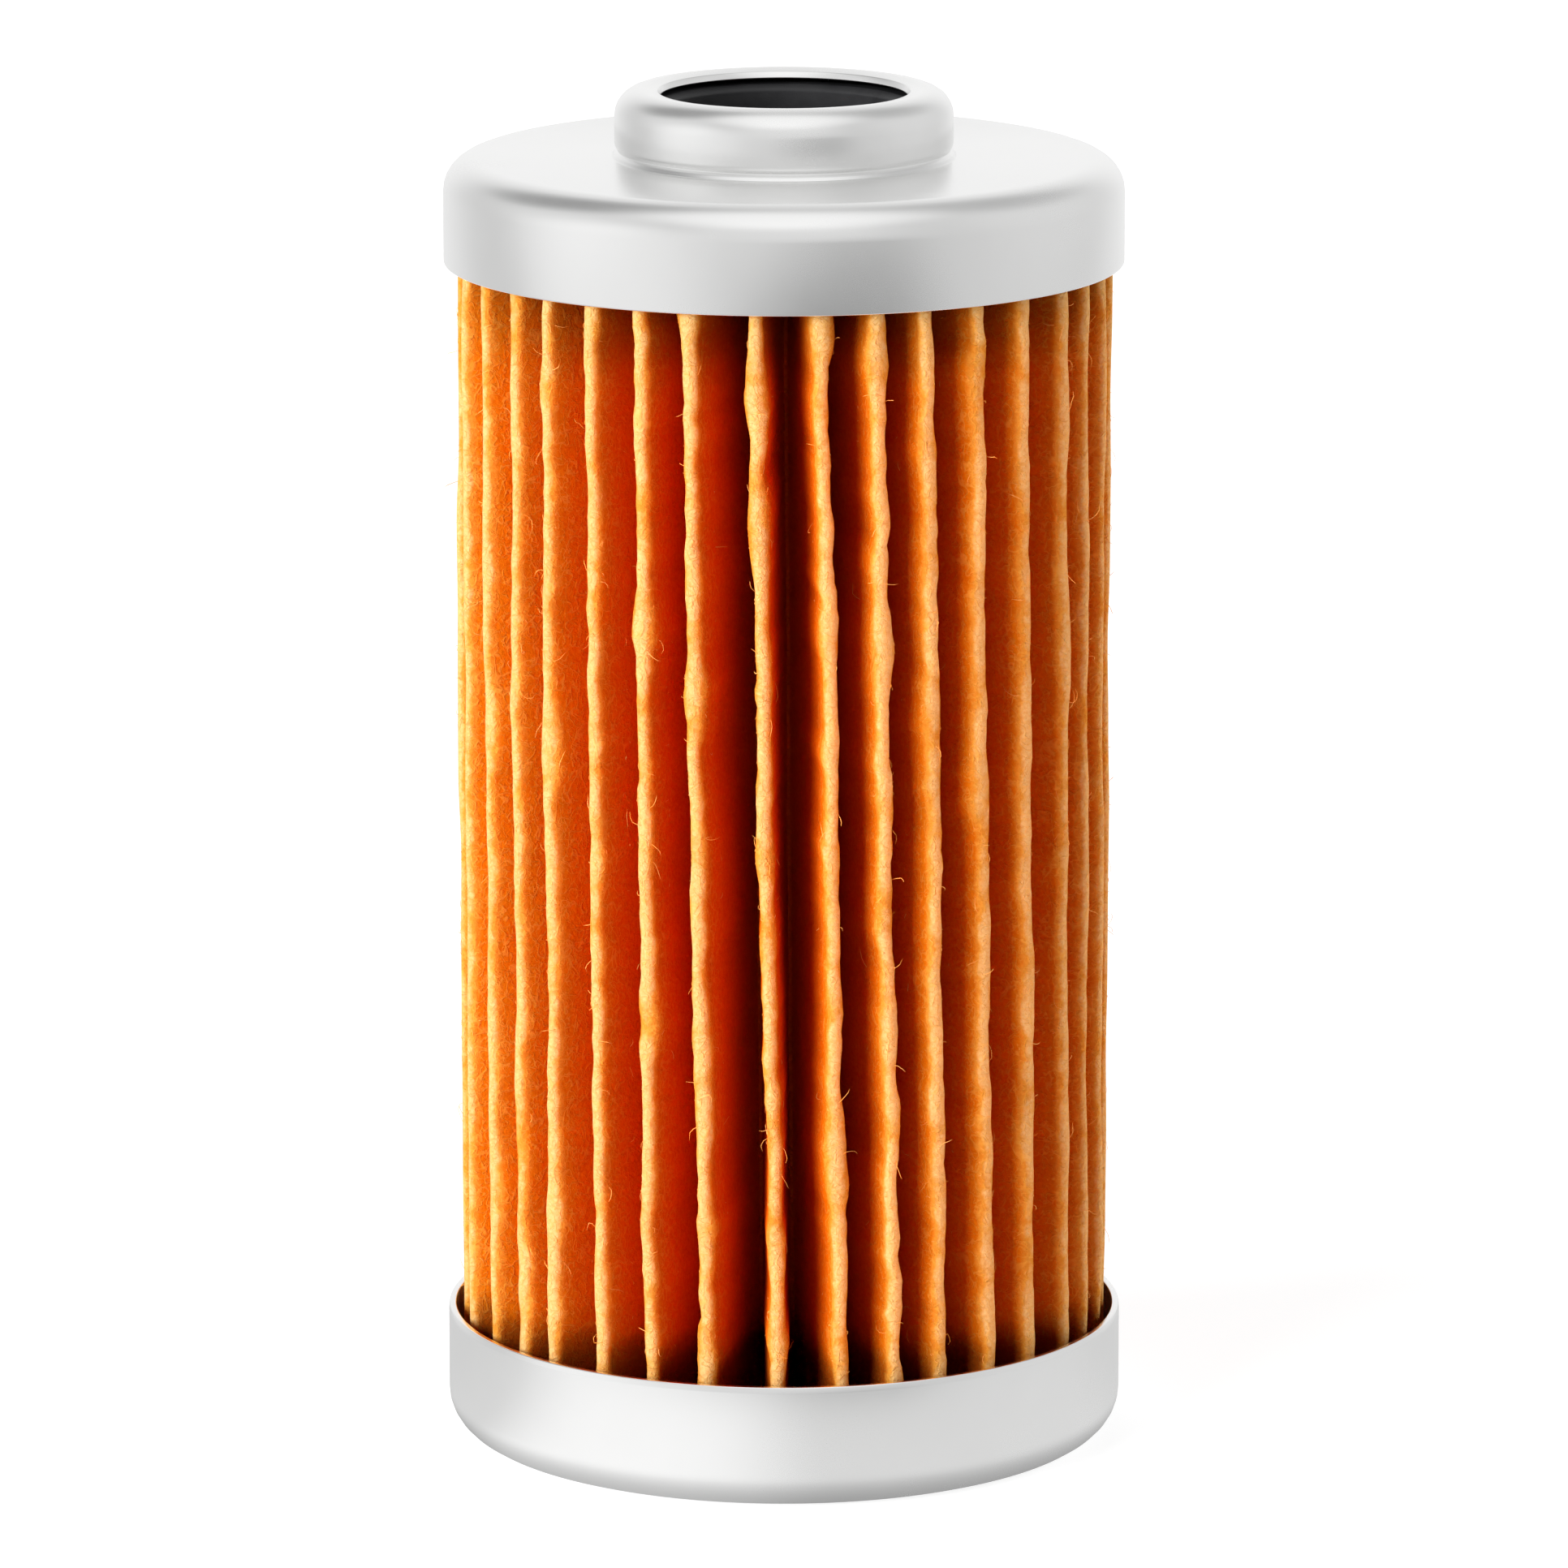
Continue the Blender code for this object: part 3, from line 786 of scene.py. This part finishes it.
def make_cage(material):
    """The hat over the relief valve, with four windows."""
    top = ends("valve_cage")[1]
    corners = [
        (0.0, top - 0.7, 0.0),
        (1.7, top - 0.7, 0.3),
        (2.2, top, 0.3),
        (7.0, top, 1.0),
        (7.0, 0.95, 0.5),
        (8.9, 0.95, 0.1),
        (8.9, 0.55, 0.1),
        (6.6, 0.55, 0.8),
        (6.6, top - 0.4, 0.6),
        (2.45, top - 0.4, 0.2),
        (1.95, top - 1.1, 0.2),
        (0.0, top - 1.1, 0.0),
    ]
    cage = turned("valve_cage_hat", corners, SMALL_STEPS)
    for size in (
        (WINDOW_ACROSS, WINDOW_WIDTH, WINDOW_HEIGHT),
        (WINDOW_WIDTH, WINDOW_ACROSS, WINDOW_HEIGHT),
    ):
        bm = bmesh.new()
        bmesh.ops.create_cube(bm, size=1.0)
        bmesh.ops.scale(bm, verts=bm.verts[:], vec=size)
        bmesh.ops.translate(bm, verts=bm.verts[:], vec=(0.0, 0.0, WINDOW_MIDDLE))
        cut(cage, new_cutter(bm))
    dress(cage, material, BODY, "plated_steel", "valve_cage")


def make_valve(steel, rubber_black):
    low = ends("valve_disc")[0]
    corners = [
        (0.0, low + 1.4, 0.0),
        (2.5, low + 1.4, 0.5),
        (2.7, low + 0.4, 0.15),
        (5.4, low + 0.4, 0.1),
        (5.4, low, 0.1),
        (2.6, low, 0.2),
        (2.15, low + 1.0, 0.2),
        (0.0, low + 1.0, 0.0),
    ]
    disc = turned("valve_disc_pressed", corners, SMALL_STEPS)
    dress(disc, steel, VALVE, "plated_steel", "valve_disc")
    low, high = ends("valve_gasket")
    corners = [(5.3, high, 0.1), (5.3, low, 0.1), (3.0, low, 0.1), (3.0, high, 0.1)]
    gasket = turned("valve_gasket_ring", corners, SMALL_STEPS)
    dress(gasket, rubber_black, VALVE, "seal_rubber", "valve_gasket")


def wires(name, paths, radii, sides):
    """A mesh of round wires along the paths, each as thick as its radius at its own points."""
    curve = bpy.data.curves.new(name, "CURVE")
    curve.dimensions = "3D"
    curve.bevel_depth = 1.0
    curve.bevel_resolution = sides
    curve.use_fill_caps = True
    for path, thick in zip(paths, radii):
        spline = curve.splines.new("POLY")
        spline.points.add(len(path) - 1)
        for point, place, radius in zip(spline.points, path, thick):
            point.co = (*place, 1.0)
            point.radius = radius
    drawn = bpy.data.objects.new(name, curve)
    bpy.context.scene.collection.objects.link(drawn)
    graph = bpy.context.evaluated_depsgraph_get()
    mesh = bpy.data.meshes.new_from_object(drawn.evaluated_get(graph))
    bpy.data.objects.remove(drawn, do_unlink=True)
    bm = bmesh.new()
    bm.from_mesh(mesh)
    bmesh.ops.remove_doubles(bm, verts=bm.verts[:], dist=MERGE)
    bm.to_mesh(mesh)
    bm.free()
    mesh.shade_smooth()
    piece = bpy.data.objects.new(name, mesh)
    bpy.context.scene.collection.objects.link(piece)
    return piece


def make_spring(material):
    """A compression coil with a closed turn at each end."""
    low, high = (corner.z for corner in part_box("valve_spring"))
    half = 0.5 * SPRING_WIRE
    closed = SPRING_CLOSED * SPRING_WIRE
    open_turns = SPRING_TURNS - 2
    open_pitch = (high - low - SPRING_WIRE - 2.0 * closed) / open_turns
    path = []
    z = low + half
    for i in range(SPRING_TURNS * SPRING_POINTS + 1):
        turns = i / SPRING_POINTS
        around = 2.0 * math.pi * turns
        path.append((SPRING_RADIUS * math.cos(around), SPRING_RADIUS * math.sin(around), z))
        in_end = turns < 1.0 or turns >= SPRING_TURNS - 1.0
        z += (closed if in_end else open_pitch) / SPRING_POINTS
    spring = wires("valve_coil", [path], [[half] * len(path)], SPRING_SIDES)
    dress(spring, material, BODY, "spring_steel", "valve_spring")
    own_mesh(spring)


# ---------------------------------------------------------------- paper


def waves(rng, heights, count, length):
    """Random waves up each pleat, -1 to 1: one row for each height, one column for each pleat."""
    step = 0.5 * length
    span = heights[-1] - heights[0]
    knots = rng.uniform(-1.0, 1.0, (int(span / step) + 3, count))
    place = (heights[:, None] - heights[0]) / step + rng.random(count)
    below = place.astype(int)
    share = place - below
    share = share * share * (3.0 - 2.0 * share)
    column = np.arange(count)
    return knots[below, column] * (1.0 - share) + knots[below + 1, column] * share


def bulges(rng, heights):
    """Places where a tip swells: a few chance ones on each pleat, and the big ones."""
    total = np.zeros((len(heights), PLEATS))
    for _ in range(CHANCE_BULGES):
        middle = rng.uniform(heights[0], heights[-1], PLEATS)
        reach = BULGE_REACH * rng.uniform(0.6, 1.6, PLEATS)
        size = CHANCE_BULGE_SIZE * rng.uniform(0.1, 1.0, PLEATS) ** 2
        total += size * np.exp(-(((heights[:, None] - middle) / reach) ** 2))
    for pleat, height, size in BIG_BULGES:
        total[:, pleat] += size * np.exp(-(((heights - height) / BIG_BULGE_REACH) ** 2))
    return total


def pleat_asides(rng, heights, low, high):
    """How far each tip stands aside of its even place, in radians."""
    index = np.arange(PLEATS)
    azimuth = (180.0 + 360.0 * index / PLEATS + 180.0) % 360.0 - 180.0
    change = 0.5 + 0.5 * np.tanh((azimuth - TWIST_CHANGE) / TWIST_BLEND)
    twist = TWIST_LEFT + (TWIST_RIGHT - TWIST_LEFT) * change
    free = 0.5 + 0.5 * np.cos(np.radians(azimuth))  # 0 at the seam, which its clip keeps straight
    strays = np.radians(rng.uniform(-STRAY, STRAY, PLEATS))
    for pleat, degrees in STRAY_PLEATS.items():
        strays[pleat] = math.radians(degrees)
    down = np.clip((high - heights) / (high - low), 0.0, 1.0)[:, None]
    wobble = 0.0
    for degrees, length in TIP_WAVES:
        wobble = wobble + math.radians(degrees) * waves(rng, heights, PLEATS, length)
    held = np.where(index == SEAM, 0.0, 1.0)
    return (twist * free * down + strays + wobble) * held


def arc_offsets(count):
    """(out, aside) shares of a half-round fold, from one side to the other."""
    around = np.linspace(-0.5 * np.pi, 0.5 * np.pi, count)
    return np.cos(around), np.sin(around)


def in_plan(angle, out, aside):
    """Points that far out along the angles, and that far aside."""
    x = out * np.cos(angle) - aside * np.sin(angle)
    y = out * np.sin(angle) + aside * np.cos(angle)
    return np.stack((x, y), axis=-1)


def paper_centreline(rng, heights, low, high, tip_radius, root_radius):
    """The middle of the ply in plan: heights x points round the loop x 2."""
    seam = np.arange(PLEATS) == SEAM
    even = 0.5 * np.pi + PITCH * np.arange(PLEATS)
    aside = pleat_asides(rng, heights, low, high)
    swell = 1.0
    for share, length in TIP_SWELLS:
        swell = swell + share * waves(rng, heights, PLEATS, length)
    swell += bulges(rng, heights)
    fold = OUTER_FOLD * np.where(seam, 1.0, np.clip(swell, TIP_SWELL_LEAST, TIP_SWELL_MOST))
    height, length = TIP_DEPTH_WAVE
    tip = tip_radius + np.where(seam, -SEAM_DROP, height * waves(rng, heights, PLEATS, length))
    tip -= 0.5 * PLY
    tip_angle = even + aside
    root_angle = even + 0.5 * PITCH + ROOT_ASIDE * (aside + np.roll(aside, -1, axis=1))
    root = np.full(tip.shape, root_radius + 0.5 * PLY + INNER_FOLD)

    out, side = arc_offsets(TIP_POINTS)
    tip_middle = (tip - fold)[:, :, None]
    fold = fold[:, :, None]
    tips = in_plan(tip_angle[:, :, None], tip_middle + fold * out, fold * side)
    out, side = arc_offsets(ROOT_POINTS)
    roots = in_plan(root_angle[:, :, None], root[:, :, None] - INNER_FOLD * out, INNER_FOLD * side)
    falling = flank(rng, heights, tips[:, :, -1], roots[:, :, 0])
    rising = flank(rng, heights, roots[:, :, -1], np.roll(tips, -1, axis=1)[:, :, 0])
    loop = np.concatenate((tips, falling, roots, rising), axis=2)
    return loop.reshape(len(heights), -1, 2)


def flank(rng, heights, start, end):
    """Points between a tip and a root, bowed a little to one side or the other."""
    way = end - start
    across = np.stack((-way[..., 1], way[..., 0]), axis=-1)
    across /= np.linalg.norm(across, axis=-1, keepdims=True)
    bow = FLANK_BOW * waves(rng, heights, PLEATS, FLANK_BOW_LENGTH)
    found = []
    for share in np.linspace(0.0, 1.0, FLANK_POINTS + 2)[1:-1]:
        rise = bow * math.sin(math.pi * share)
        found.append(start + share * way + rise[..., None] * across)
    return np.stack(found, axis=2)


def sheet_sides(centre, heights, thickness, closed):
    """The two surfaces of an upright sheet, as heights x points x 3, and the way out."""
    if closed:
        along = np.roll(centre, -1, axis=1) - np.roll(centre, 1, axis=1)
    else:
        along = np.gradient(centre, axis=1)
    along /= np.linalg.norm(along, axis=-1, keepdims=True)
    normal = np.stack((along[..., 1], -along[..., 0]), axis=-1)
    z = np.broadcast_to(heights[:, None, None], (*centre.shape[:2], 1))
    outer = np.concatenate((centre + 0.5 * thickness * normal, z), axis=-1)
    inner = np.concatenate((centre - 0.5 * thickness * normal, z), axis=-1)
    return outer, inner, normal


def grid_faces(first, levels, count, closed):
    """The faces of a grid of points that starts at the given index."""
    faces = []
    for level in range(levels - 1):
        for i in range(count if closed else count - 1):
            a = first + level * count + i
            b = first + level * count + (i + 1) % count
            faces.append((a, b, b + count, a + count))
    return faces


def upright_sheet(name, outer, inner, closed, angle):
    """The solid between the two surfaces of a sheet. They share their lowest and highest level only."""
    count = outer.shape[1]
    start = outer.shape[0] * count
    faces = grid_faces(0, outer.shape[0], count, closed)
    faces += [face[::-1] for face in grid_faces(start, inner.shape[0], count, closed)]
    over = start - count
    inner_over = start + (inner.shape[0] - 1) * count
    for i in range(count if closed else count - 1):
        j = (i + 1) % count
        faces.append((start + i, start + j, j, i))
        faces.append((over + i, over + j, inner_over + j, inner_over + i))
    if not closed:
        for level in range(outer.shape[0] - 1):
            for i in (0, count - 1):
                a = level * count + i
                side = (a, a + count, start + a + count, start + a)
                faces.append(side if i == 0 else side[::-1])
    points = np.concatenate((outer.reshape(-1, 3), inner.reshape(-1, 3)))
    return new_piece(name, points, faces, angle)


def make_paper(material, heights):
    rng = np.random.default_rng(SEED)
    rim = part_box("bottom_end_cap")[1].z
    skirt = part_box("top_end_cap")[0].z
    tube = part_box("centre_tube")[1].x
    centre = paper_centreline(rng, heights, rim, skirt, PLEAT_TIP, tube + PAPER_GAP)
    outer, inner, normal = sheet_sides(centre, heights, PLY, True)
    sheet = upright_sheet("pleated_sheet", outer, inner[::INNER_LEVEL_STEP], True, 60.0)
    dress(sheet, material, BODY, "filter_paper", "pleated_paper")
    return outer, normal


def make_clip(material, low, high):
    """A channel over the seam pleat, its two legs crimped on to the paper at even steps."""
    heights = np.linspace(low, high, CLIP_LEVELS)
    around = 0.5 * PLY + OUTER_FOLD + CLIP_GAP + 0.5 * CLIP_SHEET
    bend = PLEAT_TIP - SEAM_DROP - 0.5 * PLY - OUTER_FOLD
    out, side = arc_offsets(CLIP_BEND_POINTS)
    up_leg = np.linspace(bend - CLIP_DEPTH, bend, CLIP_LEG_POINTS + 1)[:-1]
    down_leg = np.linspace(bend, bend - CLIP_DEPTH, CLIP_LEG_POINTS + 1)[1:]
    outs = np.concatenate((up_leg, bend + around * out, down_leg))
    leg_side = np.full(CLIP_LEG_POINTS, around)
    sides = np.concatenate((-leg_side, around * side, leg_side))
    on_leg = np.clip((bend - outs) / (0.35 * CLIP_DEPTH), 0.0, 1.0)
    step = (high - low) / CLIP_CRIMPS
    from_crimp = np.abs((heights - low) % step - 0.5 * step)
    pressed = np.clip(1.0 - from_crimp / (0.22 * step), 0.0, 1.0)
    pressed = pressed * pressed * (3.0 - 2.0 * pressed)
    drawn_in = CLIP_PRESS * pressed[:, None] * on_leg * np.sign(sides)
    angle = np.full((len(heights), len(outs)), 0.5 * math.pi)
    centre = in_plan(angle, np.broadcast_to(outs, angle.shape), sides - drawn_in)
    outer, inner, _ = sheet_sides(centre, heights, CLIP_SHEET, False)
    clip = upright_sheet("seam_channel", outer, inner, False, 50.0)
    dress(clip, material, BODY, "plated_steel", "seam_clip")


def make_fibres(material, outer, normal, heights):
    """Loose hairs that curl out of the paper, most of them at the tips."""
    rng = np.random.default_rng(SEED + 1)
    each = TIP_POINTS + ROOT_POINTS + 2 * FLANK_POINTS
    paths = []
    radii = []
    for _ in range(FIBRES):
        level = rng.integers(12, len(heights) - 10)
        pleat = rng.integers(1, PLEATS)
        spot = pleat * each + rng.integers(-1, TIP_POINTS + 1)
        root = outer[level, spot]
        out = np.append(normal[level, spot], 0.0)
        across = np.array((-out[1], out[0], 0.0))
        up = np.array((0.0, 0.0, 1.0))
        length = MM * (FIBRE_LEAST + FIBRE_SPREAD * rng.random() ** FIBRE_LONG_RARITY)
        turn = rng.uniform(0.0, 2.0 * np.pi)
        curl = rng.normal(0.0, 1.3)
        lift = rng.uniform(0.15, 0.7)
        path = [root - FIBRE_ROOT * MM * out]
        for step in range(FIBRE_POINTS):
            turn += curl / FIBRE_POINTS + rng.normal(0.0, 0.25)
            rise = lift * math.cos(math.pi * (step + 0.5) / FIBRE_POINTS * rng.uniform(0.5, 1.0))
            way = math.cos(turn) * across + math.sin(turn) * up + rise * out
            point = path[-1] + way * length / FIBRE_POINTS
            point[:2] *= min(1.0, FIBRE_REACH / math.hypot(point[0], point[1]))
            path.append(point)
        paths.append(path)
        thick = MM * rng.uniform(*FIBRE_THICK)
        radii.append([thick] * FIBRE_POINTS + [FIBRE_TIP * thick])
    hairs = wires("paper_fibres", paths, radii, 0)
    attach(hairs, BODY)
    hairs.data.materials.clear()
    hairs.data.materials.append(material)


# ---------------------------------------------------------------- build


def build():
    make_scene()
    tinplate = metal("tinplate", (0.90, 0.90, 0.895), 0.24, 0.02, 0.02)
    steel = metal("zinc_plated_steel", (0.70, 0.71, 0.72), 0.34, 0.08, 0.05)
    spring_steel = metal("spring_steel", (0.40, 0.40, 0.41), 0.30, 0.08, 0.02)
    black = rubber()
    make_caps(tinplate)
    make_seal(black)
    make_retainer(steel)
    make_bonds(sealant())
    make_tube(steel)
    make_cage(steel)
    make_valve(steel, black)
    make_spring(spring_steel)
    low, high = (corner.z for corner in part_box("pleated_paper"))
    heights = np.linspace(low, high, LEVELS)
    outer, normal = make_paper(paper(), heights)
    make_clip(steel, low, high)
    make_fibres(fibre(), outer, normal, heights)


build()
